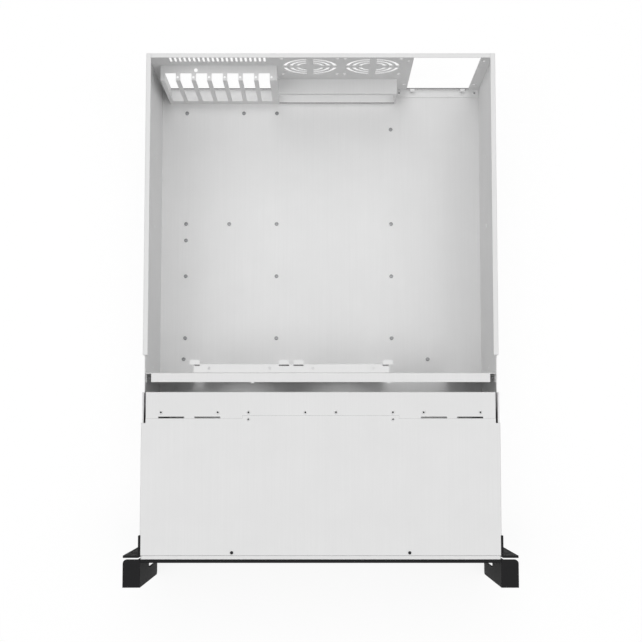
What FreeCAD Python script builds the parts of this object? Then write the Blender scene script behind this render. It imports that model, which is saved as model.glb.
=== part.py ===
"""Open 4U rackmount chassis: folded steel body, recessed rear bay, drive cages and black front.

Millimetres, +Z up, the front at -Y and the rear at +Y.
The origin is below the middle of the whole object, on the surface that it stands on.
Distances along the body are counted from the rear face towards the front.
"""
import FreeCAD, Part
import math
import os

Vec = FreeCAD.Vector

# Overall sizes
BODY_WIDTH = 440.0
BODY_HEIGHT = 177.0
BODY_LENGTH = 631.0
HANDLE_REACH = 34.0

# Sheets
SHEET = 1.0
BLACK_SHEET = 3.0
PANEL_SHEET = 1.2
FOLD_RADIUS = 1.0
SEAM = 0.2

# Side walls of the base
RIM = 6.0
FRONT_RIM = 2.0
NOTCH_LENGTH = 46.0
RAIL_HOLE_RADIUS = 2.2
RAIL_HOLE_HEIGHT = 76.0
RAIL_HOLE_DISTANCES = (111.0, 204.0, 391.0)

# Threaded inserts for a main board, placed on its own hole grid
BOARD_REAR_ROW = 34.3
BOARD_IO_COLUMN = 96.8
BOARD_COLUMNS = (0.0, -157.48, -281.94)
BOARD_ROWS = (154.94, 227.33, 312.42)
BOARD_IO_SETBACK = 22.86
BOARD_EXTRA_REAR_COLUMN = -203.2
BOARD_EXTRA_MIDDLE_COLUMN = -222.7
CABLE_INSERTS = (145.8, -187.0)
CABLE_INSERT_SETBACK = 26.8
INSERT_RADIUS = 2.7
INSERT_HEIGHT = 1.6

# Rear panel
REAR_LIP = 5.6
REAR_FOOT = 12.0
BAY_LIP = 5.0
VENT_COUNT = 21
VENT_PITCH = 6.0
VENT_WIDTH = 3.0
VENT_HEIGHT = 26.0
VENT_FIRST_X = -192.0
VENT_TOP_EDGE = 11.0
FAN_CENTRES = (-14.0, 67.6)
FAN_HEIGHT = 117.5
FAN_HOLE_SPACING = 71.5
FAN_HOLE_RADIUS = 2.5
GRILLE_RADIUS = 35.0
GRILLE_RINGS = 3
GRILLE_SIDES = 24
GRILLE_PITCH = 8.0
GRILLE_SLOT = 4.5
GRILLE_SPOKE = 9.0
SUPPLY_LEFT = 119.0
SUPPLY_WIDTH = 85.4
SUPPLY_BOTTOM = 7.3
SUPPLY_TOP_EDGE = 12.0
SUPPLY_HOLE_SPAN = 96.0
SUPPLY_HOLE_RISE = 114.0
SUPPLY_HOLE_RADIUS = 2.2
SUPPLY_TAB_WIDTH = 6.0
SUPPLY_TAB_REACH = 4.0
SUPPLY_TAB_INSET = 5.0

# Recessed bay for expansion slots and board sockets
RECESS = 20.0
SLOT_COUNT = 7
SLOT_PITCH = 20.32
SLOT_WIDTH = 14.6
SLOT_FIRST_X = -195.4
SLOT_BOTTOM = 17.0
SLOT_NOTCH = 10.0
SLOT_MARGIN_LEFT = 5.3
SLOT_MARGIN_RIGHT = 9.1
SLOT_LEDGE = 123.0
SLOT_SCREW_OFFSET = 9.6
SLOT_SCREW_INSET = 4.8
SLOT_SCREW_RADIUS = 1.5
LEDGE_HOLE_RADIUS = 2.5
LEDGE_HOLE_X = -162.2
LEDGE_HOLE_INSET = 14.0
IO_WIDTH = 158.75
IO_HEIGHT = 44.45
IO_BOTTOM = 5.2
IO_LEDGE = 56.0

# Cross bar and fan wall
BAR_DEPTH = 20.0
BAR_SETBACK = 24.7
BAR_WIDTH = 11.6
BAR_DROP = 25.0
BAR_END_CUT = 7.3
BAR_TAB_HEIGHT = 16.0
BAR_LEG = 48.0
BAR_STOP_WIDTH = 4.0
BAR_STOP_REACH = 1.5
BAR_STOP_X = 85.0
FAN_WALL_LEFT = -158.9
FAN_WALL_WIDTH = 244.6
FAN_WALL_DROP = 2.0
FAN_WALL_FLANGE = 11.3
FAN_WALL_LIP = 30.0
BAY_FANS = (-101.6, 28.0)
BAY_FAN_HEIGHT = 76.0
BAY_FAN_RADIUS = 57.0
BAY_FAN_SIDES = 22
BAY_WIDTH = 124.0
FLANGE_HOLE_SPACING = 75.5
FLANGE_HOLE_RADIUS = 1.7
FLANGE_HOLE_INSET = 5.6
CATCH_WIDTH = 12.5
CATCH_REACH = 6.0
CATCH_RISE = 2.0
CATCH_LEG = 2.5
CATCH_SLOT = 1.6

# Ledge for the lid
LEDGE_LEAD = 32.4
LEDGE_DEPTH = 43.0
LEDGE_DROP = 14.0
LEDGE_END_GAP = 4.5
LEDGE_RIVET_INSET = 25.0
HOOK_SLOT_LENGTH = 31.6
HOOK_SLOT_WIDTH = 4.0
HOOK_SLOT_CENTRES = (139.5, 184.0)
HOOK_CLEARANCE = 1.0

# Front cover
COVER_LENGTH = 171.6
COVER_STEP = 3.6
COVER_STEP_HALF = 96.5
COVER_WING_STEP = 5.6
COVER_SKIRT_GAP = 2.0
COVER_STRIP = 4.5
COVER_RIVET_X = 89.0
COVER_RIVET_INSET = 1.2
COVER_SCREW_X = 108.6
COVER_SCREW_INSET = 8.1
COVER_SCREW_HEAD = 1.9

# Front frame and black front panel
FRAME_FLANGE = 16.0
FRAME_FOOT = 12.0
FRAME_FOLD_RADIUS = 0.6
WINDOW_WIDTH = 80.0
WINDOW_EDGE = 14.0
PANEL_DEPTH = 4.3
PANEL_LIFT = 0.5
AIR_SLOT_WIDTH = 10.0
AIR_SLOT_PITCH = 20.0
AIR_SLOT_COUNT = 4

# Drive cages
CAGE_COUNT = 4
CAGE_PITCH = 107.8
CAGE_WIDTH = 104.6
CAGE_OVERLAP = 25.0
CAGE_FRONT_GAP = 26.0
CAGE_FOOT = 8.0
CAGE_FOLD_RADIUS = 0.0
CAGE_RIVET_SPACING = 70.0
DRIVE_COUNT = 4
DRIVE_PITCH = 41.0
DRIVE_FIRST_HEIGHT = 20.0
DRIVE_SLOT_START = 35.0
DRIVE_SLOT_LENGTH = 72.0
DRIVE_SLOT_HEIGHT = 4.0

# Rack ears and handles
EAR_FLANGE = 21.3
EAR_LEG = 27.0
EAR_SETBACK = 1.8
RACK_SLOT_SPAN = 465.1
RACK_SLOT_RISE = 101.6
RACK_SLOT_LENGTH = 10.3
RACK_SLOT_WIDTH = 6.8
EAR_SCREW_EDGE = 30.0
EAR_SCREW_INSET = 10.0
HANDLE_CORNER = 5.0
HANDLE_FOOT = 16.0
HANDLE_FOOT_EDGE = 20.0
FINGER_BOTTOM = 8.0
FINGER_TOP = 89.0
FINGER_REAR_EDGE = 6.0
FINGER_FRONT_BAR = 16.5
FINGER_CORNER = 4.0

# Buttons, lights and the small board behind them
CONTROL_X = 107.8
POWER_DROP = 37.0
POWER_SIZE = 11.0
RESET_DROP = 20.0
RESET_SIZE = 6.0
LIGHT_DROP = 16.0
LIGHT_PITCH = 10.0
LIGHT_RADIUS = 1.5
BUTTON_PROUD = 1.7
BUTTON_COLLAR = 1.5
BUTTON_COLLAR_THICKNESS = 1.2
BUTTON_TRAVEL = 1.5
BUTTON_GAP = 0.3
STEM_SIZE = 3.0
STEM_ENTRY = 1.0
SWITCH_SIZE = 7.0
SWITCH_HEIGHT = 5.0
BOARD_THICKNESS = 1.6
BOARD_WIDTH = 20.0
BOARD_RISE = 22.0
BOARD_HEIGHT = 82.0
BOARD_DISTANCE = 13.0
SPACER_RADIUS = 3.0
SPACER_INSET = 5.0

# Fasteners
HEAD_SIDES = 8
PIN_SIDES = 6
SMALL_HOLE_SIDES = 8
RIVET_HEAD_RADIUS = 2.6
RIVET_HEAD_HEIGHT = 0.9
SCREW_HEAD_RADIUS = 3.0
SCREW_HEAD_HEIGHT = 1.6
SCREW_RADIUS = 1.5
SCREW_LENGTH = 5.0
HOLE_CLEARANCE = 0.2

# Levels and places that follow from the sizes above
FLOOR_TOP = SHEET
RIM_TOP = BODY_HEIGHT - SHEET
WALL_OUT = BODY_WIDTH / 2
WALL_IN = WALL_OUT - SHEET
SKIRT_OUT = WALL_OUT + SHEET
EAR_OUT = WALL_OUT + EAR_FLANGE
EAR_REAR = BODY_LENGTH - EAR_SETBACK - EAR_LEG
COVER_REAR = BODY_LENGTH - COVER_LENGTH
LEDGE_REAR = COVER_REAR - LEDGE_LEAD
NOTCH_START = LEDGE_REAR - NOTCH_LENGTH
BAR_REAR = LEDGE_REAR - BAR_SETBACK
BAR_TOP = BODY_HEIGHT - BAR_DEPTH
LEDGE_RIVET_LINE = LEDGE_REAR + LEDGE_RIVET_INSET
COVER_WINGS = COVER_REAR + COVER_WING_STEP
CAGE_REAR = LEDGE_REAR + LEDGE_DEPTH - CAGE_OVERLAP
CAGE_FRONT = BODY_LENGTH - CAGE_FRONT_GAP
WINDOW_TOP = BODY_HEIGHT - WINDOW_EDGE
SUPPLY_TOP = BODY_HEIGHT - SUPPLY_TOP_EDGE
VENT_TOP = BODY_HEIGHT - VENT_TOP_EDGE
HANDLE_FOOT_TOP = BODY_HEIGHT - HANDLE_FOOT_EDGE
POWER_HEIGHT = BODY_HEIGHT - POWER_DROP
RESET_HEIGHT = POWER_HEIGHT - RESET_DROP
LIGHT_HEIGHTS = (RESET_HEIGHT - LIGHT_DROP, RESET_HEIGHT - LIGHT_DROP - LIGHT_PITCH)
BOARD_TOP = POWER_HEIGHT + BOARD_RISE
BOARD_BOTTOM = BOARD_TOP - BOARD_HEIGHT
REAR_Y = (BODY_LENGTH + HANDLE_REACH) / 2
PANEL_FRONT = BODY_LENGTH + PANEL_DEPTH
CAGE_CENTRES = [(i - (CAGE_COUNT - 1) / 2) * CAGE_PITCH for i in range(CAGE_COUNT)]
SLOT_CENTRES = [SLOT_FIRST_X + i * SLOT_PITCH for i in range(SLOT_COUNT)]
SLOT_BAY_LEFT = SLOT_CENTRES[0] - SLOT_WIDTH / 2 - SLOT_MARGIN_LEFT
SLOT_BAY_RIGHT = SLOT_CENTRES[-1] + SLOT_WIDTH / 2 + SLOT_MARGIN_RIGHT
IO_RIGHT = SLOT_BAY_RIGHT + IO_WIDTH + SHEET
RECESS_FACE = SHEET + RECESS
BUTTONS = ((POWER_SIZE, POWER_HEIGHT), (RESET_SIZE, RESET_HEIGHT))
FAN_WALL_TOP = BAR_TOP - FAN_WALL_DROP
CAGE_TOP = RIM_TOP - SHEET
LEDGE_HALF = WALL_OUT - LEDGE_END_GAP
SCREW_HOLE = SCREW_RADIUS + HOLE_CLEARANCE
CUT = 5.0
X_AXIS = Vec(1, 0, 0)
Y_AXIS = Vec(0, 1, 0)
Z_AXIS = Vec(0, 0, 1)


def at(distance):
    """Y of a plane that lies this far in front of the rear face."""
    return REAR_Y - distance


def block(x0, x1, d0, d1, z0, z1):
    """Box from x0 to x1, from distance d0 to d1 off the rear face, and from z0 to z1."""
    return Part.makeBox(x1 - x0, d1 - d0, z1 - z0, Vec(x0, at(d1), z0))


def square_bar(z, half, d0, d1):
    """Square bar on the line of the buttons at height z, from distance d0 to d1."""
    return block(CONTROL_X - half, CONTROL_X + half, d0, d1, z - half, z + half)


def rod(centre, radius, length, axis):
    """Cylinder that starts at centre and runs along axis."""
    return Part.makeCylinder(radius, length, centre, axis)


def prism(centre, radius, length, axis, sides):
    """Regular prism that starts at centre and runs along axis, with its flats at radius."""
    corner = radius / math.cos(math.pi / sides)
    turn = FreeCAD.Rotation(Z_AXIS, axis)
    ring = []
    for i in range(sides + 1):
        angle = 2 * math.pi * (i + 0.5) / sides
        ring.append(centre + turn.multVec(Vec(math.cos(angle), math.sin(angle), 0) * corner))
    return Part.Face(Part.makePolygon(ring)).extrude(axis * length)


def drilled(shape, places, radius, axis):
    """Shape with a round hole at each place, cut both ways along axis."""
    tools = [rod(place - axis * CUT, radius, 2 * CUT, axis) for place in places]
    return shape.cut(Part.makeCompound(tools))


def pierced(shape, places, radius, axis, sides=PIN_SIDES):
    """Shape with a many-sided hole at each place, cut both ways along axis."""
    tools = [prism(place - axis * CUT, radius, 2 * CUT, axis, sides) for place in places]
    return shape.cut(Part.makeCompound(tools))


def rounded_path(points, radii):
    """Edges of an open path with an arc of the given radius at each inner corner."""
    edges = []
    start = points[0]
    for before, corner, after, radius in zip(points, points[1:], points[2:], radii):
        towards = (before - corner).normalize()
        away = (after - corner).normalize()
        if radius > 0:
            half_turn = towards.getAngle(away) / 2
            reach = radius / math.tan(half_turn)
            first = corner + towards * reach
            last = corner + away * reach
            centre = corner + (towards + away).normalize() * (radius / math.sin(half_turn))
            middle = centre + (corner - centre).normalize() * radius
            edges.append(Part.LineSegment(start, first).toShape())
            edges.append(Part.Arc(first, middle, last).toShape())
            start = last
        else:
            edges.append(Part.LineSegment(start, corner).toShape())
            start = corner
    edges.append(Part.LineSegment(start, points[-1]).toShape())
    return edges


def folded(outline, thickness, sweep, radius=FOLD_RADIUS):
    """Folded sheet: an outer path, thickened to its left as seen against the sweep, and extruded."""
    out_of_page = sweep * (1 / sweep.Length)
    steps = [(b - a).normalize() for a, b in zip(outline, outline[1:])]
    inward = [out_of_page.cross(step) * thickness for step in steps]
    inner = [outline[0] + inward[0]]
    outer_radii = []
    inner_radii = []
    for i, corner in enumerate(outline[1:-1]):
        left_turn = out_of_page.dot(steps[i].cross(steps[i + 1])) > 0
        small = max(radius - thickness, 0.0)
        inner.append(corner + inward[i] + inward[i + 1])
        outer_radii.append(radius if left_turn else small)
        inner_radii.append(small if left_turn else radius)
    inner.append(outline[-1] + inward[-1])
    edges = rounded_path(outline, outer_radii)
    edges.append(Part.LineSegment(outline[-1], inner[-1]).toShape())
    edges.extend(rounded_path(inner[::-1], inner_radii[::-1]))
    edges.append(Part.LineSegment(inner[0], outline[0]).toShape())
    return Part.Face(Part.Wire(edges)).extrude(sweep)


def across(points, x0, x1, thickness, radius=FOLD_RADIUS):
    """Sheet folded in side view, given as (distance, z) points, and run from x0 to x1."""
    outline = [Vec(x0, at(distance), z) for distance, z in points]
    return folded(outline, thickness, Vec(x1 - x0, 0, 0), radius)


def along(points, d0, d1, thickness, radius=FOLD_RADIUS):
    """Sheet folded in front view, given as (x, z) points, and run from d0 to d1."""
    outline = [Vec(x, at(d0), z) for x, z in points]
    return folded(outline, thickness, Vec(0, d0 - d1, 0), radius)


def mirrored(shape):
    """The same piece on the other side of the middle plane."""
    return shape.mirror(Vec(0, 0, 0), Vec(1, 0, 0))


def rivet(place, axis):
    """Set rivet: a low head on the sheet, whose shank fills its hole."""
    return prism(place, RIVET_HEAD_RADIUS, RIVET_HEAD_HEIGHT, axis, HEAD_SIDES)


def screw(place, axis, length, head_radius=SCREW_HEAD_RADIUS):
    """Machine screw: a flat head that stands out along axis and a shank the other way."""
    head = prism(place, head_radius, SCREW_HEAD_HEIGHT, axis, HEAD_SIDES)
    return head.fuse(prism(place, SCREW_RADIUS, length, -axis, PIN_SIDES)).removeSplitter()


def board_insert_places():
    """Places of the threaded inserts on the floor: the board's grid and two for cables."""
    rear, middle, third, front = [BOARD_REAR_ROW + step for step in (0.0,) + BOARD_ROWS]
    columns = [BOARD_IO_COLUMN + step for step in BOARD_COLUMNS]
    places = [(columns[0], rear + BOARD_IO_SETBACK), (columns[1], rear), (columns[2], rear)]
    places.append((BOARD_IO_COLUMN + BOARD_EXTRA_REAR_COLUMN, rear))
    places.append((BOARD_IO_COLUMN + BOARD_EXTRA_MIDDLE_COLUMN, middle))
    places.append((columns[2], middle + BOARD_IO_SETBACK))
    places.extend((x, row) for row in (middle, third, front) for x in columns)
    places.extend((x, BAR_REAR - CABLE_INSERT_SETBACK) for x in CABLE_INSERTS)
    return [Vec(x, at(distance), FLOOR_TOP) for x, distance in places]


def rear_foot_places():
    """Rivet places on the foot of the rear panel, beside the supply opening."""
    inset = REAR_FOOT / 2
    edges = (IO_RIGHT + inset, WALL_IN - inset)
    return [Vec(x, at(inset), FLOOR_TOP + SHEET) for x in edges]


def ledge_rivet_places():
    """Rivet places that hold each cage to the ledge, two for a cage."""
    half = CAGE_RIVET_SPACING / 2
    return [Vec(x + side * half, at(LEDGE_RIVET_LINE), RIM_TOP)
            for x in CAGE_CENTRES for side in (-1, 1)]


def cover_rivet_places():
    """Rivet places that hold the rear edge of the cover to the ledge."""
    line = at(COVER_REAR + COVER_RIVET_INSET)
    return [Vec(side * COVER_RIVET_X, line, BODY_HEIGHT) for side in (-1, 1)]


def cover_screw_places():
    """Screw places near the front edge of the cover."""
    line = at(BODY_LENGTH - COVER_SCREW_INSET)
    return [Vec(side * COVER_SCREW_X, line, BODY_HEIGHT) for side in (-1, 1)]


def ear_screw_places(side):
    """Screw places on the outside of an ear's leg."""
    line = at(EAR_REAR + EAR_SCREW_INSET)
    x = side * (WALL_OUT + BLACK_SHEET)
    return [Vec(x, line, z) for z in (EAR_SCREW_EDGE, BODY_HEIGHT - EAR_SCREW_EDGE)]


def bar_screw_places(side):
    """Screw place on the outside of the wall for one end of the cross bar."""
    return [Vec(side * WALL_OUT, at(BAR_REAR + BAR_WIDTH / 2), BAR_TOP - BAR_DROP / 2)]


def light_places():
    """Places of the light pipes on the front of the small board."""
    distance = BODY_LENGTH - SHEET - BOARD_DISTANCE
    return [Vec(CONTROL_X, at(distance), z) for z in LIGHT_HEIGHTS]


def spacer_places():
    """Places of the spacers on the front of the small board."""
    distance = BODY_LENGTH - SHEET - BOARD_DISTANCE
    heights = (BOARD_BOTTOM + SPACER_INSET, BOARD_TOP - SPACER_INSET)
    return [Vec(CONTROL_X, at(distance), z) for z in heights]


def base_tray():
    """Floor and side walls folded from one sheet, with inward rims and a notch for the bar."""
    half = WALL_OUT
    path = [(-half + RIM, RIM_TOP), (-half, RIM_TOP), (-half, 0), (half, 0)]
    path += [(half, RIM_TOP), (half - RIM, RIM_TOP)]
    tray = along(path, 0, BODY_LENGTH, SHEET)
    notch_end = NOTCH_START + NOTCH_LENGTH
    above_rim = RIM_TOP + CUT
    rim_bottom = RIM_TOP - SHEET
    narrow = half - FRONT_RIM
    cuts = [block(-half - CUT, half + CUT, NOTCH_START, notch_end, BAR_TOP, above_rim)]
    cuts.append(block(-narrow, narrow, notch_end, BODY_LENGTH + CUT, rim_bottom, above_rim))
    cuts.append(block(-WALL_IN, WALL_IN, COVER_WINGS, BODY_LENGTH + CUT, rim_bottom, above_rim))
    tray = tray.cut(Part.makeCompound(cuts))
    for side in (-1, 1):
        rails = [Vec(side * half, at(d), RAIL_HOLE_HEIGHT) for d in RAIL_HOLE_DISTANCES]
        tray = pierced(tray, rails, RAIL_HOLE_RADIUS, X_AXIS)
        tray = pierced(tray, ear_screw_places(side) + bar_screw_places(side), SCREW_HOLE, X_AXIS)
    return tray


def board_inserts():
    """Pressed-in inserts for the board's screws, low hexagons on the floor."""
    places = board_insert_places()
    inserts = [prism(p, INSERT_RADIUS, INSERT_HEIGHT, Z_AXIS, PIN_SIDES) for p in places]
    return Part.makeCompound(inserts)


def grille_cut(x):
    """Three rings of arcs round a fan's middle, broken by an upright and a level spoke."""
    centre = Vec(x, at(SHEET + CUT), FAN_HEIGHT)
    length = SHEET + 2 * CUT
    rings = []
    for i in range(GRILLE_RINGS):
        outer = GRILLE_RADIUS - i * GRILLE_PITCH
        ring = prism(centre, outer, length, Y_AXIS, GRILLE_SIDES)
        rings.append(ring.cut(prism(centre, outer - GRILLE_SLOT, length, Y_AXIS, GRILLE_SIDES)))
    half = GRILLE_SPOKE / 2
    reach = GRILLE_RADIUS + CUT
    upright = block(x - half, x + half, -CUT, SHEET + CUT, FAN_HEIGHT - reach, FAN_HEIGHT + reach)
    level = block(x - reach, x + reach, -CUT, SHEET + CUT, FAN_HEIGHT - half, FAN_HEIGHT + half)
    return Part.makeCompound(rings).cut(upright.fuse(level))


def rectangle_places(x, z, span, rise, distance):
    """Four corners of an upright rectangle of holes."""
    return [Vec(x + i * span / 2, at(distance), z + k * rise / 2) for i in (-1, 1) for k in (-1, 1)]


def rear_panel():
    """Rear wall with a top lip and a foot, vents, fan grilles and the supply opening."""
    half = WALL_IN - SEAM
    path = [(REAR_FOOT, FLOOR_TOP), (0, FLOOR_TOP), (0, RIM_TOP), (REAR_LIP, RIM_TOP)]
    panel = across(path, -half, half, SHEET)
    lip_half = WALL_OUT - RIM - SEAM
    rim_bottom = RIM_TOP - SHEET - SEAM
    supply_right = SUPPLY_LEFT + SUPPLY_WIDTH
    cuts = []
    for side in (-1, 1):
        x0, x1 = sorted((side * lip_half, side * (half + CUT)))
        cuts.append(block(x0, x1, -CUT, REAR_LIP + CUT, rim_bottom, RIM_TOP + CUT))
    bay_left = SLOT_BAY_LEFT + SHEET
    bay_right = SLOT_BAY_RIGHT - SHEET
    lip_top = FLOOR_TOP + BAY_LIP
    cuts.append(block(bay_left, bay_right, -CUT, REAR_FOOT + CUT, lip_top, SLOT_LEDGE - SHEET))
    cuts.append(block(bay_left, IO_RIGHT - SHEET, -CUT, SHEET, lip_top, IO_LEDGE - SHEET))
    cuts.append(block(-half - CUT, IO_RIGHT, SHEET, REAR_FOOT + CUT, 0, FLOOR_TOP + SHEET + CUT))
    cuts.append(block(SUPPLY_LEFT, supply_right, -CUT, SHEET + CUT, SUPPLY_BOTTOM, SUPPLY_TOP))
    for i in range(VENT_COUNT):
        x = VENT_FIRST_X + i * VENT_PITCH
        x0 = x - VENT_WIDTH / 2
        low = VENT_TOP - VENT_HEIGHT
        cuts.append(block(x0, x0 + VENT_WIDTH, -CUT, SHEET + CUT, low, VENT_TOP))
    cuts.extend(grille_cut(x) for x in FAN_CENTRES)
    panel = panel.cut(Part.makeCompound(cuts))
    tab_z = SUPPLY_BOTTOM - SHEET
    first_tab = SUPPLY_LEFT + SUPPLY_TAB_INSET
    last_tab = supply_right - SUPPLY_TAB_INSET - SUPPLY_TAB_WIDTH
    for x in (first_tab, last_tab):
        reach = SHEET + SUPPLY_TAB_REACH
        panel = panel.fuse(block(x, x + SUPPLY_TAB_WIDTH, 0, reach, tab_z, SUPPLY_BOTTOM))
    for x in FAN_CENTRES:
        spacing = FAN_HOLE_SPACING
        holes = rectangle_places(x, FAN_HEIGHT, spacing, spacing, 0)
        panel = drilled(panel, holes, FAN_HOLE_RADIUS, Y_AXIS)
    supply_x = SUPPLY_LEFT + SUPPLY_WIDTH / 2
    supply_z = (SUPPLY_BOTTOM + SUPPLY_TOP) / 2
    holes = rectangle_places(supply_x, supply_z, SUPPLY_HOLE_SPAN, SUPPLY_HOLE_RISE, 0)
    return drilled(panel, holes, SUPPLY_HOLE_RADIUS, Y_AXIS).removeSplitter()


def slot_frame():
    """Recessed box for expansion cards: a ledge, a slotted face and two cheeks."""
    path = [(SHEET, SLOT_LEDGE), (RECESS_FACE, SLOT_LEDGE), (RECESS_FACE, FLOOR_TOP)]
    frame = across(path, SLOT_BAY_LEFT, SLOT_BAY_RIGHT, SHEET)
    inside = RECESS_FACE - SHEET
    for x in (SLOT_BAY_LEFT, SLOT_BAY_RIGHT - SHEET):
        frame = frame.fuse(block(x, x + SHEET, SHEET, inside, FLOOR_TOP, SLOT_LEDGE - SHEET))
    frame = frame.removeSplitter()
    cuts = []
    for x in SLOT_CENTRES:
        x0 = x - SLOT_WIDTH / 2
        notch = RECESS_FACE - SLOT_NOTCH
        top = SLOT_LEDGE + CUT
        cuts.append(block(x0, x0 + SLOT_WIDTH, notch, RECESS_FACE + CUT, SLOT_BOTTOM, top))
    frame = frame.cut(Part.makeCompound(cuts))
    line = at(RECESS_FACE - SLOT_SCREW_INSET)
    screws = [Vec(x + SLOT_SCREW_OFFSET, line, SLOT_LEDGE) for x in SLOT_CENTRES]
    frame = pierced(frame, screws, SLOT_SCREW_RADIUS, Z_AXIS, SMALL_HOLE_SIDES)
    hole = Vec(LEDGE_HOLE_X, at(RECESS_FACE - LEDGE_HOLE_INSET), SLOT_LEDGE)
    return pierced(frame, [hole], LEDGE_HOLE_RADIUS, Z_AXIS, SMALL_HOLE_SIDES)


def io_frame():
    """Lower recessed box whose face is open for the board's sockets."""
    path = [(SHEET, IO_LEDGE), (RECESS_FACE, IO_LEDGE), (RECESS_FACE, FLOOR_TOP)]
    frame = across(path, SLOT_BAY_RIGHT, IO_RIGHT, SHEET)
    inside = RECESS_FACE - SHEET
    cheek = block(IO_RIGHT - SHEET, IO_RIGHT, SHEET, inside, FLOOR_TOP, IO_LEDGE - SHEET)
    frame = frame.fuse(cheek).removeSplitter()
    right = SLOT_BAY_RIGHT + IO_WIDTH
    top = IO_BOTTOM + IO_HEIGHT
    return frame.cut(block(SLOT_BAY_RIGHT - CUT, right, inside - CUT, RECESS_FACE + CUT, IO_BOTTOM, top))


def rear_rivets():
    """Rivets on the foot of the rear panel."""
    return Part.makeCompound([rivet(p, Z_AXIS) for p in rear_foot_places()])


def cross_bar():
    """Folded bar between the walls, level with their notches, with a tab and a leg at each end."""
    half = WALL_IN - SEAM
    front = BAR_REAR + BAR_WIDTH
    path = [(BAR_REAR, BAR_TOP - BAR_DROP), (BAR_REAR, BAR_TOP), (front, BAR_TOP)]
    bar = across(path, -half, half, SHEET)
    for side in (-1, 1):
        x0, x1 = sorted((side * (half - BAR_END_CUT), side * (half + CUT)))
        web = BAR_REAR + SHEET
        bar = bar.cut(block(x0, x1, web, front + CUT, BAR_TOP - SHEET - CUT, BAR_TOP + CUT))
        x0, x1 = sorted((side * (half - SHEET), side * half))
        middle = BAR_TOP - BAR_DROP / 2
        low = middle - BAR_TAB_HEIGHT / 2
        bar = bar.fuse(block(x0, x1, BAR_REAR, front, low, low + BAR_TAB_HEIGHT))
        x0, x1 = sorted((side * (half - BAR_LEG), side * half))
        bar = bar.fuse(block(x0, x1, BAR_REAR, BAR_REAR + SHEET, FLOOR_TOP, BAR_TOP - BAR_DROP))
        x0 = side * BAR_STOP_X - BAR_STOP_WIDTH / 2
        x1 = x0 + BAR_STOP_WIDTH
        bar = bar.fuse(block(x0, x1, front - SHEET, front + BAR_STOP_REACH, BAR_TOP - SHEET, BAR_TOP))
        bar = pierced(bar, bar_screw_places(side), SCREW_HOLE, X_AXIS)
    return bar.removeSplitter()


def bar_screws():
    """Screws through the walls into the end tabs of the cross bar."""
    left = [screw(p, -X_AXIS, SCREW_LENGTH) for p in bar_screw_places(-1)]
    right = [screw(p, X_AXIS, SCREW_LENGTH) for p in bar_screw_places(1)]
    return Part.makeCompound(left + right)


def fan_wall():
    """Wall for two fans behind the cross bar, with raised catches on its top flange."""
    left = FAN_WALL_LEFT
    right = FAN_WALL_LEFT + FAN_WALL_WIDTH
    rear = BAR_REAR - FAN_WALL_FLANGE
    path = [(rear, FAN_WALL_TOP - FAN_WALL_LIP), (rear, FAN_WALL_TOP), (BAR_REAR, FAN_WALL_TOP)]
    path += [(BAR_REAR, FLOOR_TOP), (rear, FLOOR_TOP)]
    wall = across(path, left, right, SHEET)
    seat = rear + SHEET
    flange_line = at(BAR_REAR - FLANGE_HOLE_INSET)
    for x in BAY_FANS:
        centre = Vec(x, at(BAR_REAR), BAY_FAN_HEIGHT)
        wall = pierced(wall, [centre], BAY_FAN_RADIUS, Y_AXIS, BAY_FAN_SIDES)
        half = FLANGE_HOLE_SPACING / 2
        holes = [Vec(x + side * half, flange_line, FAN_WALL_TOP) for side in (-1, 1)]
        wall = pierced(wall, holes, FLANGE_HOLE_RADIUS, Z_AXIS, SMALL_HOLE_SIDES)
        for side in (-1, 1):
            middle = x + side * (BAY_WIDTH - CATCH_WIDTH) / 2
            x0 = middle - CATCH_WIDTH / 2
            x1 = middle + CATCH_WIDTH / 2
            wall = wall.cut(block(x0, x1, seat, seat + CATCH_SLOT, FAN_WALL_TOP - CUT, FAN_WALL_TOP + CUT))
            wall = wall.fuse(catch(middle, rear))
    return wall.removeSplitter()


def catch(middle, rear):
    """Raised catch: a small plate over the flange's rear edge, bent up beside a slot on one leg."""
    high = FAN_WALL_TOP + CATCH_RISE
    seat = rear + SHEET
    half = CATCH_WIDTH / 2
    plate = block(middle - half, middle + half, seat - CATCH_REACH, seat, high, high + SHEET)
    leg = CATCH_LEG / 2
    return plate.fuse(block(middle - leg, middle + leg, rear, seat, FAN_WALL_TOP - SHEET, high))


def lid_ledge():
    """Strip that carries the lid's front edge, with a rear fold and four hook slots."""
    path = [(LEDGE_REAR, RIM_TOP - LEDGE_DROP), (LEDGE_REAR, RIM_TOP)]
    path.append((LEDGE_REAR + LEDGE_DEPTH, RIM_TOP))
    ledge = across(path, -LEDGE_HALF, LEDGE_HALF, SHEET)
    return ledge.cut(hook_cuts(0))


def hook_cuts(margin):
    """Slots for the lid's hooks at the rear edge of the cover, wider all round by a margin."""
    half_length = HOOK_SLOT_LENGTH / 2 + margin
    half_width = HOOK_SLOT_WIDTH / 2 + margin
    rear = COVER_REAR - half_width
    front = COVER_REAR + half_width
    slots = []
    for x in [side * centre for side in (-1, 1) for centre in HOOK_SLOT_CENTRES]:
        slots.append(block(x - half_length, x + half_length, rear, front, RIM_TOP - CUT, RIM_TOP + CUT))
    return Part.makeCompound(slots)


def ledge_rivets():
    """Rivets that hold the tops of the cages to the ledge."""
    return Part.makeCompound([rivet(p, Z_AXIS) for p in ledge_rivet_places()])


def cage_drive_cuts(x):
    """Level slots in both sides of a cage, for the screws of its drives."""
    half = CAGE_WIDTH / 2 + CUT
    d0 = CAGE_REAR + DRIVE_SLOT_START
    d1 = d0 + DRIVE_SLOT_LENGTH
    heights = [DRIVE_FIRST_HEIGHT + i * DRIVE_PITCH for i in range(DRIVE_COUNT)]
    cuts = [block(x - half, x + half, d0, d1, z, z + DRIVE_SLOT_HEIGHT) for z in heights]
    return Part.makeCompound(cuts)


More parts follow.
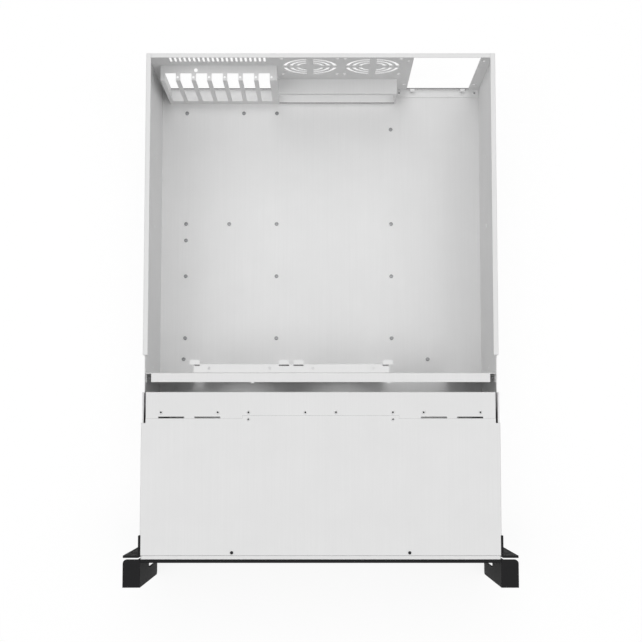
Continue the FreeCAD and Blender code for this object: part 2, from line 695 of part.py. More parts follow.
def drive_cage(x):
    """Cage for one column of drives: a folded top, two slotted sides and inward feet."""
    half = CAGE_WIDTH / 2
    path = [(x + half - CAGE_FOOT, FLOOR_TOP), (x + half, FLOOR_TOP), (x + half, CAGE_TOP)]
    path += [(x - half, CAGE_TOP), (x - half, FLOOR_TOP), (x - half + CAGE_FOOT, FLOOR_TOP)]
    cage = along(path, CAGE_REAR, CAGE_FRONT, SHEET, CAGE_FOLD_RADIUS)
    return cage.cut(cage_drive_cuts(x)).cut(hook_cuts(HOOK_CLEARANCE))


def front_cover():
    """Fixed cover over the cages, folded down outside both walls and cut back at the ears."""
    low = COVER_SKIRT_GAP
    path = [(SKIRT_OUT, low), (SKIRT_OUT, BODY_HEIGHT), (-SKIRT_OUT, BODY_HEIGHT), (-SKIRT_OUT, low)]
    start = COVER_REAR - COVER_STEP
    cover = along(path, start, BODY_LENGTH, SHEET)
    plate_end = BODY_LENGTH - COVER_STRIP - SEAM
    top = BODY_HEIGHT + CUT
    cuts = [block(-WALL_OUT, WALL_OUT, plate_end, BODY_LENGTH + CUT, RIM_TOP, top)]
    for side in (-1, 1):
        x0, x1 = sorted((side * LEDGE_HALF, side * (SKIRT_OUT + CUT)))
        cuts.append(block(x0, x1, start - CUT, COVER_WINGS, 0, top))
        x0, x1 = sorted((side * COVER_STEP_HALF, side * (SKIRT_OUT + CUT)))
        cuts.append(block(x0, x1, start - CUT, COVER_REAR, 0, top))
        x0, x1 = sorted((side * WALL_OUT, side * (SKIRT_OUT + CUT)))
        cuts.append(block(x0, x1, EAR_REAR - SEAM, BODY_LENGTH + CUT, 0, top))
    cover = cover.cut(Part.makeCompound(cuts))
    return pierced(cover, cover_screw_places(), SCREW_HOLE, Z_AXIS)


def cover_fasteners():
    """Two rivets at the rear edge of the cover and two screws at its front."""
    rivets = [rivet(p, Z_AXIS) for p in cover_rivet_places()]
    screws = [screw(p, Z_AXIS, SCREW_LENGTH, COVER_SCREW_HEAD) for p in cover_screw_places()]
    return Part.makeCompound(rivets + screws)


def front_frame():
    """Upright sheet behind the front panel: a window for each cage and a stepped top flange."""
    half = WALL_IN - SEAM
    face = BODY_LENGTH
    step = face - COVER_STRIP
    path = [(face - FRAME_FLANGE, RIM_TOP), (step, RIM_TOP), (step, BODY_HEIGHT)]
    path += [(face, BODY_HEIGHT), (face, FLOOR_TOP), (face - FRAME_FOOT, FLOOR_TOP)]
    frame = across(path, -half, half, SHEET, FRAME_FOLD_RADIUS)
    cuts = []
    for x in CAGE_CENTRES:
        x0 = x - WINDOW_WIDTH / 2
        x1 = x + WINDOW_WIDTH / 2
        cuts.append(block(x0, x1, face - SHEET - CUT, face + CUT, WINDOW_EDGE, WINDOW_TOP))
    for size, z in BUTTONS:
        room = size / 2 + BUTTON_COLLAR + BUTTON_GAP
        cuts.append(square_bar(z, room, face - SHEET - CUT, face + CUT))
    frame = frame.cut(Part.makeCompound(cuts))
    frame = pierced(frame, cover_screw_places(), SCREW_HOLE, Z_AXIS)
    lights = [Vec(CONTROL_X, at(face), z) for z in LIGHT_HEIGHTS]
    return pierced(frame, lights, LIGHT_RADIUS + HOLE_CLEARANCE, Y_AXIS)


def front_panel():
    """Black channel across the front: air slots for each cage and holes for the controls."""
    path = [(BODY_LENGTH, BODY_HEIGHT), (PANEL_FRONT, BODY_HEIGHT), (PANEL_FRONT, PANEL_LIFT)]
    path.append((BODY_LENGTH, PANEL_LIFT))
    panel = across(path, -WALL_OUT, WALL_OUT, PANEL_SHEET, PANEL_SHEET)
    rear = PANEL_FRONT - PANEL_SHEET
    cuts = []
    for centre in CAGE_CENTRES:
        for i in range(AIR_SLOT_COUNT):
            x0 = centre + (i - (AIR_SLOT_COUNT - 1) / 2) * AIR_SLOT_PITCH - AIR_SLOT_WIDTH / 2
            x1 = x0 + AIR_SLOT_WIDTH
            cuts.append(block(x0, x1, rear, PANEL_FRONT + CUT, WINDOW_EDGE, WINDOW_TOP))
    for size, z in BUTTONS:
        cuts.append(square_bar(z, size / 2 + BUTTON_GAP, rear, PANEL_FRONT + CUT))
    panel = panel.cut(Part.makeCompound(cuts))
    lights = [Vec(CONTROL_X, at(PANEL_FRONT), z) for z in LIGHT_HEIGHTS]
    return pierced(panel, lights, LIGHT_RADIUS + HOLE_CLEARANCE, Y_AXIS)


def rack_slot(x, z):
    """Level slot with round ends through a rack flange."""
    radius = RACK_SLOT_WIDTH / 2
    half = RACK_SLOT_LENGTH / 2 - radius
    front = BODY_LENGTH - EAR_SETBACK
    middle = block(x - half, x + half, front - BLACK_SHEET - CUT, front + CUT, z - radius, z + radius)
    for side in (-1, 1):
        end = Vec(x + side * half, at(front + CUT), z)
        middle = middle.fuse(rod(end, radius, BLACK_SHEET + 2 * CUT, Y_AXIS))
    return middle


def rack_ear():
    """Right rack ear: a leg screwed to the side and a flange with two rack slots."""
    front = BODY_LENGTH - EAR_SETBACK
    outline = [Vec(WALL_OUT, at(EAR_REAR), PANEL_LIFT), Vec(WALL_OUT, at(front), PANEL_LIFT)]
    outline.append(Vec(EAR_OUT, at(front), PANEL_LIFT))
    ear = folded(outline, BLACK_SHEET, Vec(0, 0, BODY_HEIGHT - PANEL_LIFT), BLACK_SHEET)
    for side in (-1, 1):
        z = BODY_HEIGHT / 2 + side * RACK_SLOT_RISE / 2
        ear = ear.cut(rack_slot(RACK_SLOT_SPAN / 2, z))
    return pierced(ear, ear_screw_places(1), SCREW_HOLE, X_AXIS)


def ear_screws():
    """Screws through both ears into the walls."""
    length = BLACK_SHEET + 2 * SHEET
    left = [screw(p, -X_AXIS, length) for p in ear_screw_places(-1)]
    right = [screw(p, X_AXIS, length) for p in ear_screw_places(1)]
    return Part.makeCompound(left + right)


def upright_edges(shape, x, distance):
    """Edges of a shape that run along Z through a given corner."""
    corner = Vec(x, at(distance), 0)
    found = []
    for edge in shape.Edges:
        first, last = edge.Vertexes[0].Point, edge.Vertexes[-1].Point
        flat = [Vec(p.x, p.y, 0).distanceToPoint(corner) for p in (first, last)]
        if max(flat) < SEAM:
            found.append(edge)
    return found


def rack_handle():
    """Right handle: a side plate with a finger opening, a top plate and a foot behind the panel."""
    path = [(EAR_OUT, BODY_HEIGHT), (WALL_OUT, BODY_HEIGHT), (WALL_OUT, PANEL_LIFT)]
    front = BODY_LENGTH + HANDLE_REACH
    handle = along(path, BODY_LENGTH, front, BLACK_SHEET)
    handle = handle.makeFillet(HANDLE_CORNER, upright_edges(handle, EAR_OUT, BODY_LENGTH))
    corner = block(WALL_OUT - CUT, WALL_OUT + CUT, front - HANDLE_CORNER, front + CUT,
                   PANEL_LIFT - CUT, PANEL_LIFT + HANDLE_CORNER)
    pivot = Vec(WALL_OUT - CUT, at(front - HANDLE_CORNER), PANEL_LIFT + HANDLE_CORNER)
    handle = handle.cut(corner.cut(rod(pivot, HANDLE_CORNER, 2 * CUT, X_AXIS)))
    d0 = BODY_LENGTH + FINGER_REAR_EDGE
    d1 = front - FINGER_FRONT_BAR
    opening = block(WALL_OUT - CUT, WALL_OUT + CUT, d0, d1, FINGER_BOTTOM, FINGER_TOP)
    level = [e for e in opening.Edges if abs(e.tangentAt(e.FirstParameter).x) > 1 - 1e-6]
    handle = handle.cut(opening.makeFillet(FINGER_CORNER, level))
    foot_front = BODY_LENGTH + BLACK_SHEET
    inner = WALL_OUT - HANDLE_FOOT
    foot = block(inner, WALL_OUT, BODY_LENGTH, foot_front, HANDLE_FOOT_EDGE, HANDLE_FOOT_TOP)
    return handle.fuse(foot).removeSplitter()


def push_button(z, size):
    """Square cap that stands out of the panel, with a collar behind it and a stem to its switch."""
    panel_rear = PANEL_FRONT - PANEL_SHEET
    collar_front = panel_rear - BUTTON_GAP
    collar_rear = collar_front - BUTTON_COLLAR_THICKNESS
    switch_front = BODY_LENGTH - SHEET - BOARD_DISTANCE + SWITCH_HEIGHT
    cap = square_bar(z, size / 2, collar_rear, PANEL_FRONT + BUTTON_PROUD)
    collar = square_bar(z, size / 2 + BUTTON_COLLAR, collar_rear, collar_front)
    stem = square_bar(z, STEM_SIZE / 2, switch_front - STEM_ENTRY, collar_rear)
    return cap.fuse([collar, stem]).removeSplitter()


def control_board():
    """Small circuit board behind the buttons, held off the front frame by two spacers."""
    front = BODY_LENGTH - SHEET - BOARD_DISTANCE
    half = BOARD_WIDTH / 2
    rear = front - BOARD_THICKNESS
    return block(CONTROL_X - half, CONTROL_X + half, rear, front, BOARD_BOTTOM, BOARD_TOP)


def push_switches():
    """Switch housings on the small board, each with a blind bore that the stem presses into."""
    front = BODY_LENGTH - SHEET - BOARD_DISTANCE
    mouth = front + SWITCH_HEIGHT
    bore = STEM_SIZE / 2 + BUTTON_GAP
    depth = STEM_ENTRY + BUTTON_TRAVEL + BUTTON_GAP
    housings = []
    for z in (POWER_HEIGHT, RESET_HEIGHT):
        housing = square_bar(z, SWITCH_SIZE / 2, front, mouth)
        housings.append(housing.cut(square_bar(z, bore, mouth - depth, mouth)))
    return Part.makeCompound(housings)


def light_pipes():
    """Clear rods that carry the lights from the small board through the panel."""
    length = PANEL_FRONT + HOLE_CLEARANCE - (BODY_LENGTH - SHEET - BOARD_DISTANCE)
    pipes = [prism(p, LIGHT_RADIUS, length, -Y_AXIS, PIN_SIDES) for p in light_places()]
    return Part.makeCompound(pipes)


def board_spacers():
    """Hexagonal spacers between the small board and the front frame."""
    spacers = [prism(p, SPACER_RADIUS, BOARD_DISTANCE, -Y_AXIS, PIN_SIDES) for p in spacer_places()]
    return Part.makeCompound(spacers)


def main():
    """Make every piece and write it to a file of its own."""
    pieces = {
        "base_tray": base_tray(),
        "board_inserts": board_inserts(),
        "rear_panel": rear_panel(),
        "rear_rivets": rear_rivets(),
        "slot_frame": slot_frame(),
        "io_frame": io_frame(),
        "cross_bar": cross_bar(),
        "bar_screws": bar_screws(),
        "fan_wall": fan_wall(),
        "lid_ledge": lid_ledge(),
        "ledge_rivets": ledge_rivets(),
        "front_cover": front_cover(),
        "cover_fasteners": cover_fasteners(),
        "front_frame": front_frame(),
        "front_panel": front_panel(),
        "rack_ear_right": rack_ear(),
        "rack_ear_left": mirrored(rack_ear()),
        "ear_screws": ear_screws(),
        "handle_right": rack_handle(),
        "handle_left": mirrored(rack_handle()),
        "power_button": push_button(POWER_HEIGHT, POWER_SIZE),
        "reset_button": push_button(RESET_HEIGHT, RESET_SIZE),
        "control_board": control_board(),
        "push_switches": push_switches(),
        "light_pipes": light_pipes(),
        "board_spacers": board_spacers(),
    }
    for i, x in enumerate(CAGE_CENTRES):
        pieces[f"drive_cage_{i + 1}"] = drive_cage(x)
    os.makedirs("parts", exist_ok=True)
    for name, shape in pieces.items():
        shape.exportStep(f"parts/{name}.step")


main()
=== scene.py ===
"""Open 4U rackmount chassis, dressed for a view from above with its front towards the viewer."""
import math
import bmesh
import bpy
import numpy as np
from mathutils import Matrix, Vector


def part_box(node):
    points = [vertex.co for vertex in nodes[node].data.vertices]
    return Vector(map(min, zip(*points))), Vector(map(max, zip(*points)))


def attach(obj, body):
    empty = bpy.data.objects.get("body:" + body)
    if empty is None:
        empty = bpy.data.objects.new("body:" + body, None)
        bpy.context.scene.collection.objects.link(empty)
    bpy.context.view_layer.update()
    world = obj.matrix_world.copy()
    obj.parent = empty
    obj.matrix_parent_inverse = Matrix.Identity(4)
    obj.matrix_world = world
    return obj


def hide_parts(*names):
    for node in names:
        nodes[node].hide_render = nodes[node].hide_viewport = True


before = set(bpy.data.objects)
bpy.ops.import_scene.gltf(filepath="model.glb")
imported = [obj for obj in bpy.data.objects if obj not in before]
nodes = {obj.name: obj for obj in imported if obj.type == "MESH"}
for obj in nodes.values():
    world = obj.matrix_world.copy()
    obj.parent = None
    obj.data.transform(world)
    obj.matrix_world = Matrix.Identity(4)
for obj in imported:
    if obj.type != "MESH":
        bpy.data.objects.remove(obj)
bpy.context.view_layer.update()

# Base tray: floor and both side walls, folded from one electro-galvanised steel sheet.
# The dull coat looks light grey and almost without gloss, with faint rolling lines along the
# length. Lines and grain are drawn about ten times as wide as real ones, so that they show.


def linear(hex_colour):
    """sRGB hex to linear: c / 12.92 near black, ((c + 0.055) / 1.055) to the power 2.4 above."""
    srgb = [int(hex_colour[i:i + 2], 16) / 255 for i in (1, 3, 5)]
    rgb = [c / 12.92 if c <= 0.04045 else ((c + 0.055) / 1.055) ** 2.4 for c in srgb]
    return (*rgb, 1.0)


def add(material, kind, inputs=None, **settings):
    """A node of this kind with its settings; each input is a value or another node's output."""
    made = material.node_tree.nodes.new(kind)
    for key, value in settings.items():
        setattr(made, key, value)
    for key, value in (inputs or {}).items():
        if isinstance(value, bpy.types.NodeSocket):
            material.node_tree.links.new(value, made.inputs[key])
        else:
            made.inputs[key].default_value = value
    return made


def blank(name):
    """A new node material with nothing in it yet."""
    material = bpy.data.materials.new(name)
    material.use_nodes = True
    material.node_tree.nodes.clear()
    return material


def surface(material, shader):
    """Joins a shader to the material's output."""
    add(material, "ShaderNodeOutputMaterial", {"Surface": shader.outputs[0]})


CORNER_JOIN = 1e-6
SHEET_EDGE = 0.00018
EDGE_ANGLE = math.radians(40)
EDGE_SEGMENTS = 2


def wear(material, *names, edge=SHEET_EDGE, cut=None):
    """Gives CAD nodes this material and breaks their edges by a little, in the cut material where
    given: bare steel and painted shade lines.
    """
    for name in names:
        mesh = nodes[name].data
        mesh.materials.clear()
        mesh.materials.append(material)
        mesh.materials.append(cut or material)
        joined = nodes[name].modifiers.new("joined_corners", "WELD")
        joined.merge_threshold = CORNER_JOIN
        broken = nodes[name].modifiers.new("broken_edges", "BEVEL")
        broken.width = edge
        broken.segments = EDGE_SEGMENTS
        broken.limit_method = "ANGLE"
        broken.angle_limit = EDGE_ANGLE
        broken.material = 1


ROLLING_LINE = 0.0020
ROLLING_RUN = 0.120
ZINC_GRAIN = 0.0011
ZINC_CLOUD = 0.045
# Sockets of a colour mix, whose names are shared: the share, the two tones and the result.
MIX_SHARE, MIX_DARK, MIX_LIGHT, MIX_OUT = 0, 6, 7, 2
zinc_sheet = blank("electro_galvanised_sheet_steel")
place = add(zinc_sheet, "ShaderNodeTexCoord").outputs["Object"]
stretch = (1 / ROLLING_LINE, 1 / ROLLING_RUN, 1 / ROLLING_LINE)
rolled = add(zinc_sheet, "ShaderNodeMapping", {"Vector": place, "Scale": stretch}).outputs[0]
noise = add(zinc_sheet, "ShaderNodeTexNoise", {"Vector": rolled, "Scale": 1.0, "Detail": 2.0})
lines = noise.outputs["Fac"]
grain = add(zinc_sheet, "ShaderNodeTexNoise", {"Vector": place, "Scale": 1 / ZINC_GRAIN, "Detail": 2.0})
cloud = add(zinc_sheet, "ShaderNodeTexNoise", {"Vector": place, "Scale": 1 / ZINC_CLOUD, "Detail": 3.0})
streak = add(zinc_sheet, "ShaderNodeMath", {0: cloud.outputs["Fac"], 1: lines}, operation="MULTIPLY")
tones = {MIX_SHARE: streak.outputs[0], MIX_DARK: linear("#EAEAEA"), MIX_LIGHT: linear("#F4F4F4")}
tint = add(zinc_sheet, "ShaderNodeMix", tones, data_type="RGBA")
gloss = add(zinc_sheet, "ShaderNodeMapRange", {"Value": lines, "To Min": 0.48, "To Max": 0.62})
relief = add(zinc_sheet, "ShaderNodeMath", {0: lines, 1: grain.outputs["Fac"]}, operation="ADD")
height = {"Height": relief.outputs[0], "Strength": 0.08, "Distance": 0.0002}
bump = add(zinc_sheet, "ShaderNodeBump", height)
surface(zinc_sheet, add(zinc_sheet, "ShaderNodeBsdfPrincipled", {
    "Base Color": tint.outputs[MIX_OUT], "Roughness": gloss.outputs[0], "Metallic": 0.1,
    "Specular IOR Level": 0.3, "Normal": bump.outputs[0]}))
wear(zinc_sheet, "base_tray")

# Board inserts: small threaded bushes pressed into the floor for the board's screws.
# Zinc-plated steel turned on a lathe, with a wide foot, a bevelled rim and steps of thread in
# the bore. The plating mirrors the room softly, so it looks darker than the floor.


def solid_boxes(node):
    """Lowest and highest corner of each separate solid in a CAD node, as two (solid, xyz) arrays.

    Corners are one when they agree to 0.01 mm. Triangles that share a corner pass on the lowest
    label among them until nothing changes.
    """
    mesh = nodes[node].data
    points = np.empty(len(mesh.vertices) * 3, np.float32)
    mesh.vertices.foreach_get("co", points)
    corners = np.empty(len(mesh.loops), np.int32)
    mesh.loops.foreach_get("vertex_index", corners)
    points = points.reshape(-1, 3).astype(float).round(5)
    spots, index = np.unique(points, axis=0, return_inverse=True)
    faces = index.ravel()[corners].reshape(-1, 3)
    label = np.arange(len(spots))
    settled = False
    while not settled:
        lowest = label.copy()
        np.minimum.at(lowest, faces, label[faces].min(axis=1, keepdims=True))
        settled = (lowest == label).all()
        label = lowest
    solids = [spots[label == one] for one in np.unique(label)]
    return np.array([s.min(axis=0) for s in solids]), np.array([s.max(axis=0) for s in solids])


def feet(low, high):
    """The middle of the underside of each box."""
    return np.column_stack(((low + high)[:, :2] / 2, low[:, 2]))


SMOOTH_ANGLE = math.radians(32)


def grid_piece(name, points):
    """Closed pieces from a (piece, row, column, xyz) array: columns run round, and both ends close."""
    count, rows, columns, _ = points.shape
    index = np.arange(count * rows * columns).reshape(count, rows, columns)
    turn = np.roll(index, -1, axis=2)
    quads = np.stack((index[:, :-1], turn[:, :-1], turn[:, 1:], index[:, 1:]), axis=-1).reshape(-1, 4)
    mesh = bpy.data.meshes.new(name)
    mesh.from_pydata(points.reshape(-1, 3).tolist(), [], quads.tolist())
    work = bmesh.new()
    work.from_mesh(mesh)
    bmesh.ops.remove_doubles(work, verts=work.verts, dist=CORNER_JOIN)
    bmesh.ops.dissolve_degenerate(work, edges=work.edges, dist=CORNER_JOIN / 10)
    bmesh.ops.recalc_face_normals(work, faces=work.faces)
    work.to_mesh(mesh)
    work.free()
    mesh.shade_smooth()
    mesh.set_sharp_from_angle(angle=SMOOTH_ANGLE)
    piece = bpy.data.objects.new(name, mesh)
    bpy.context.scene.collection.objects.link(piece)
    return piece


def plane_across(axis):
    """Two directions at right angles to an axis and to each other."""
    across = np.array((0.0, 1.0, 0.0) if abs(axis[0]) > 0.5 else (1.0, 0.0, 0.0))
    return across, np.cross(axis, across)


TURNED_SIDES = 24


def turned(name, places, axis, profile):
    """Turned pieces: each (radius, height) point of a profile is carried round an axis at every place.

    Point = place + height along the axis + radius times (cos, sin) in the plane across it.
    """
    axis = np.array(axis, float)
    across, other = plane_across(axis)
    angle = np.arange(TURNED_SIDES) * (2 * math.pi / TURNED_SIDES)
    ring = np.cos(angle)[:, None] * across + np.sin(angle)[:, None] * other
    radius, height = np.array(profile, float).T
    points = (np.array(places, float)[:, None, None, :]
              + radius[None, :, None, None] * ring[None, None, :, :]
              + height[None, :, None, None] * axis)
    return grid_piece(name, points)


FOOT_RADIUS, FOOT_HEIGHT = 2.6e-3, 0.5e-3
BUSH_RADIUS, BUSH_HEIGHT, BUSH_BEVEL = 2.1e-3, 1.6e-3, 0.2e-3
BORE_RADIUS, THREAD_DEPTH, THREAD_STEP, THREAD_TURNS = 1.25e-3, 0.2e-3, 0.2e-3, 6
bush = [(FOOT_RADIUS, 0), (FOOT_RADIUS, FOOT_HEIGHT), (BUSH_RADIUS, FOOT_HEIGHT + BUSH_BEVEL),
        (BUSH_RADIUS, BUSH_HEIGHT - BUSH_BEVEL), (BUSH_RADIUS - BUSH_BEVEL, BUSH_HEIGHT)]
thread = [(BORE_RADIUS + THREAD_DEPTH * (turn % 2 == 0), BUSH_HEIGHT - turn * THREAD_STEP)
          for turn in range(THREAD_TURNS)]
insert_profile = [(0, 0), *bush, *thread, (BORE_RADIUS, THREAD_STEP), (0, THREAD_STEP)]


def mottled(material, size, dark, light, detail=2.0):
    """Two tones mixed by noise on Object coordinates with grains of this size: noise and tint."""
    place = add(material, "ShaderNodeTexCoord").outputs["Object"]
    noise = add(material, "ShaderNodeTexNoise", {"Vector": place, "Scale": 1 / size, "Detail": detail})
    share = noise.outputs["Fac"]
    tones = {MIX_SHARE: share, MIX_DARK: linear(dark), MIX_LIGHT: linear(light)}
    return share, add(material, "ShaderNodeMix", tones, data_type="RGBA").outputs[MIX_OUT]


# Plating is finer than this, and its grain is drawn coarser so that it shows.
PLATE_GRAIN = 0.0006
zinc_plate = blank("bright_zinc_plated_steel")
grain, tint = mottled(zinc_plate, PLATE_GRAIN, "#828384", "#A0A1A2", 3.0)
gloss = add(zinc_plate, "ShaderNodeMapRange", {"Value": grain, "To Min": 0.30, "To Max": 0.45})
surface(zinc_plate, add(zinc_plate, "ShaderNodeBsdfPrincipled", {
    "Base Color": tint, "Roughness": gloss.outputs[0], "Metallic": 1.0}))
inserts = turned("threaded_inserts", feet(*solid_boxes("board_inserts")), (0, 0, 1), insert_profile)
inserts.data.materials.append(zinc_plate)
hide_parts("board_inserts")
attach(inserts, "chassis")

# Rear panel with its vents, ring grilles and supply opening, and the two recessed boxes
# for cards and sockets. The same zinc-coated sheet as the tray, stamped, folded and spot-welded
# to it. The long edges sheared low across the openings are bare steel, and their dark colour is
# also painted shade: it draws the thin shadow lines at the foot of the openings and boxes.
SHEET = 0.001
LOW_CUT = 0.010
LEVEL = 0.99
# The torn grain of a sheared edge is finer too, and drawn coarser for the same reason.
SHEAR_GRAIN = 0.0008
# Dark edge colour: bare steel where the sheet is sheared, and also painted shade that draws thin shadow
# lines along edges, seams and the foot of the rear openings.
bare_edge_and_shade = blank("bare_steel_and_painted_shade")
tint = mottled(bare_edge_and_shade, SHEAR_GRAIN, "#4C4C4D", "#6E6E70")[1]
surface(bare_edge_and_shade, add(bare_edge_and_shade, "ShaderNodeBsdfPrincipled", {
    "Base Color": tint, "Roughness": 0.6, "Metallic": 0.3}))
wear(zinc_sheet, "slot_frame")
wear(zinc_sheet, "rear_panel", "io_frame", cut=bare_edge_and_shade)


def face_rows(mesh, key):
    """One xyz row for each face of a mesh: its center or its normal."""
    values = np.empty(len(mesh.polygons) * 3, np.float32)
    mesh.polygons.foreach_get(key, values)
    return values.reshape(-1, 3)


def bare_and_shaded_low_cuts(node, wall):
    """Bare steel and painted shade lines on the triangles that look up, lie low and keep within the
    wall's own thickness.
    """
    mesh = nodes[node].data
    centre = face_rows(mesh, "center")
    upward = face_rows(mesh, "normal")[:, 2] > LEVEL
    cut = upward & (np.abs(centre[:, 1] - wall) < SHEET / 2) & (centre[:, 2] < LOW_CUT)
    mesh.polygons.foreach_set("material_index", cut.astype(np.int32))


bare_and_shaded_low_cuts("rear_panel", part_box("rear_panel")[1][1] - SHEET / 2)
bare_and_shaded_low_cuts("io_frame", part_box("io_frame")[0][1] + SHEET / 2)

# Rear rivets: blind rivets set through the foot of the rear panel beside the supply opening.
# Zinc-coated steel: a low dull dome, with a pit where the pulled stem broke off.
RIVET_RADIUS, RIVET_HEIGHT = 2.6e-3, 0.88e-3
PIT_RIM, PIT_RADIUS, PIT_FLOOR = 1.3e-3, 1.15e-3, 0.1e-3
DOME_STEPS = 5


def set_rivets(name, places, node, pit):
    """Dome rivets: height falls with the square of the distance outside the pit's rim.

    Faces nearer the axis than the pit's wall take the pit's steel.
    """
    out = np.linspace(1, 0, DOME_STEPS)
    dome = np.column_stack((PIT_RIM + out * (RIVET_RADIUS - PIT_RIM), RIVET_HEIGHT * (1 - out ** 2)))
    hollow = ((PIT_RADIUS, RIVET_HEIGHT - PIT_FLOOR), (PIT_RADIUS, PIT_FLOOR), (0, PIT_FLOOR))
    piece = turned(name, places, (0, 0, 1), np.vstack(((0, 0), dome, hollow)))
    piece.data.materials.append(zinc_sheet)
    piece.data.materials.append(pit)
    centre = face_rows(piece.data, "center")
    apart = np.linalg.norm(centre[:, None, :2] - places[None, :, :2], axis=2).min(axis=1)
    piece.data.polygons.foreach_set("material_index", (apart < PIT_RADIUS).astype(np.int32))
    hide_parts(node)
    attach(piece, "chassis")


set_rivets("rear_foot_rivets", feet(*solid_boxes("rear_rivets")), "rear_rivets", zinc_plate)

# Cross bar and fan wall: a folded bar between the walls, and behind it the wall for two fans
# with raised catches on its flange. Both are zinc-coated sheet, cut after coating, so their
# sheared edges are bare steel and show as thin darker lines. The dark colour on their broken
# edges is also painted shade.
wear(zinc_sheet, "cross_bar", "fan_wall", cut=bare_edge_and_shade)

# Screws of the cross bar: two machine screws through the side walls into the bar's end tabs.
# Zinc-plated steel, with a cross recess pressed into a low pan head.
HEAD_RADIUS, HEAD_HEIGHT, HEAD_CROWN = 3.0e-3, 1.6e-3, 0.45
RECESS_ARM, RECESS_HALF, RECESS_DEPTH, RECESS_EDGE = 1.7e-3, 0.42e-3, 0.95e-3, 0.2e-3
SHANK_RADIUS = 1.5e-3
HEAD_SIDES, HEAD_ROWS = 48, 16


def cross_screws(seats, axis, length, width=2 * HEAD_RADIUS):
    """Pan-head screws: head height falls with the fourth power of the radius.

    The cross recess lowers it by a smooth step of the distance to the nearer arm. Rows run
    from the middle of the head out to its rim, then back along the shank to its end.
    """
    axis = np.array(axis, float)
    across, other = plane_across(axis)
    angle = np.arange(HEAD_SIDES) * (2 * math.pi / HEAD_SIDES)
    radius = np.linspace(0, 1, HEAD_ROWS)[:, None] * HEAD_RADIUS
    x, y = radius * np.cos(angle), radius * np.sin(angle)
    arm = np.minimum(np.maximum(np.abs(x) - RECESS_ARM, np.abs(y) - RECESS_HALF),
                     np.maximum(np.abs(y) - RECESS_ARM, np.abs(x) - RECESS_HALF))
    inside = np.clip(0.5 - arm / RECESS_EDGE, 0, 1)
    rise = HEAD_HEIGHT * (1 - HEAD_CROWN * (radius / HEAD_RADIUS) ** 4) - inside * RECESS_DEPTH
    spread = width / (2 * HEAD_RADIUS)
    tail_radius = np.array((width / 2, SHANK_RADIUS, SHANK_RADIUS, 0.0))[:, None]
    tail_rise = np.array((0.0, 0.0, -length, -length))[:, None] + 0 * angle
    x = np.vstack((x * spread, tail_radius * np.cos(angle)))
    y = np.vstack((y * spread, tail_radius * np.sin(angle)))
    rise = np.vstack((rise, tail_rise))
    local = x[..., None] * across + y[..., None] * other + rise[..., None] * axis
    return seats[:, None, None, :] + local[None]


def side_screws(name, node):
    """Screws from both sides, each with its head at the outer end of one of the node's solids."""
    low, high = solid_boxes(node)
    middle = (low + high) / 2
    length = high[0, 0] - low[0, 0] - HEAD_HEIGHT
    rows = []
    for side in (-1, 1):
        here = middle[:, 0] * side > 0
        seats = middle[here]
        seats[:, 0] = side * (np.abs(np.stack((low, high))[:, here, 0]).max(axis=0) - HEAD_HEIGHT)
        rows.append(cross_screws(seats, (side, 0, 0), length))
    return grid_piece(name, np.concatenate(rows))


bar_screws = side_screws("bar_end_screws", "bar_screws")
bar_screws.data.materials.append(zinc_plate)
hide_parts("bar_screws")
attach(bar_screws, "chassis")

# Lid ledge: the strip in front of the bar that carries the lid's edge, with slits for its hooks.
# Zinc-coated sheet. Blind rivets with dark, unplated stems hold it to the drive cages below.
# Its broken edges take the dark edge colour: bare steel, and painted shade along its edges and hook
# slits.
wear(zinc_sheet, "lid_ledge", cut=bare_edge_and_shade)
stem_steel = blank("broken_stem_dark_steel")
tint = mottled(stem_steel, PLATE_GRAIN, "#1D1D1E", "#39393B")[1]
surface(stem_steel, add(stem_steel, "ShaderNodeBsdfPrincipled", {
    "Base Color": tint, "Roughness": 0.7, "Metallic": 0.6}))
set_rivets("ledge_dome_rivets", feet(*solid_boxes("ledge_rivets")), "ledge_rivets", stem_steel)

# Drive cages: four columns below the cover, with level slots for the screws of the drives.
# Folded from galvanised sheet whose zinc crystals, about 6 mm across, look like faint grey
# flakes. Its grey, much darker than the outer sheets, is painted shade: it darkens the gap
# behind the lid ledge and its hook slits, which look down into the cages.
SPANGLE = 0.006
shaded_cage_sheet = blank("galvanised_cage_sheet_painted_shade")
place = add(shaded_cage_sheet, "ShaderNodeTexCoord").outputs["Object"]
flakes = add(shaded_cage_sheet, "ShaderNodeTexVoronoi", {"Vector": place, "Scale": 1 / SPANGLE}).outputs["Color"]
tones = {MIX_SHARE: flakes, MIX_DARK: linear("#8A8B8C"), MIX_LIGHT: linear("#A8A9AA")}
tint = add(shaded_cage_sheet, "ShaderNodeMix", tones, data_type="RGBA")
gloss = add(shaded_cage_sheet, "ShaderNodeMapRange", {"Value": flakes, "To Min": 0.50, "To Max": 0.65})
surface(shaded_cage_sheet, add(shaded_cage_sheet, "ShaderNodeBsdfPrincipled", {
    "Base Color": tint.outputs[MIX_OUT], "Roughness": gloss.outputs[0], "Metallic": 0.3}))
wear(shaded_cage_sheet, "drive_cage_1", "drive_cage_2", "drive_cage_3", "drive_cage_4")

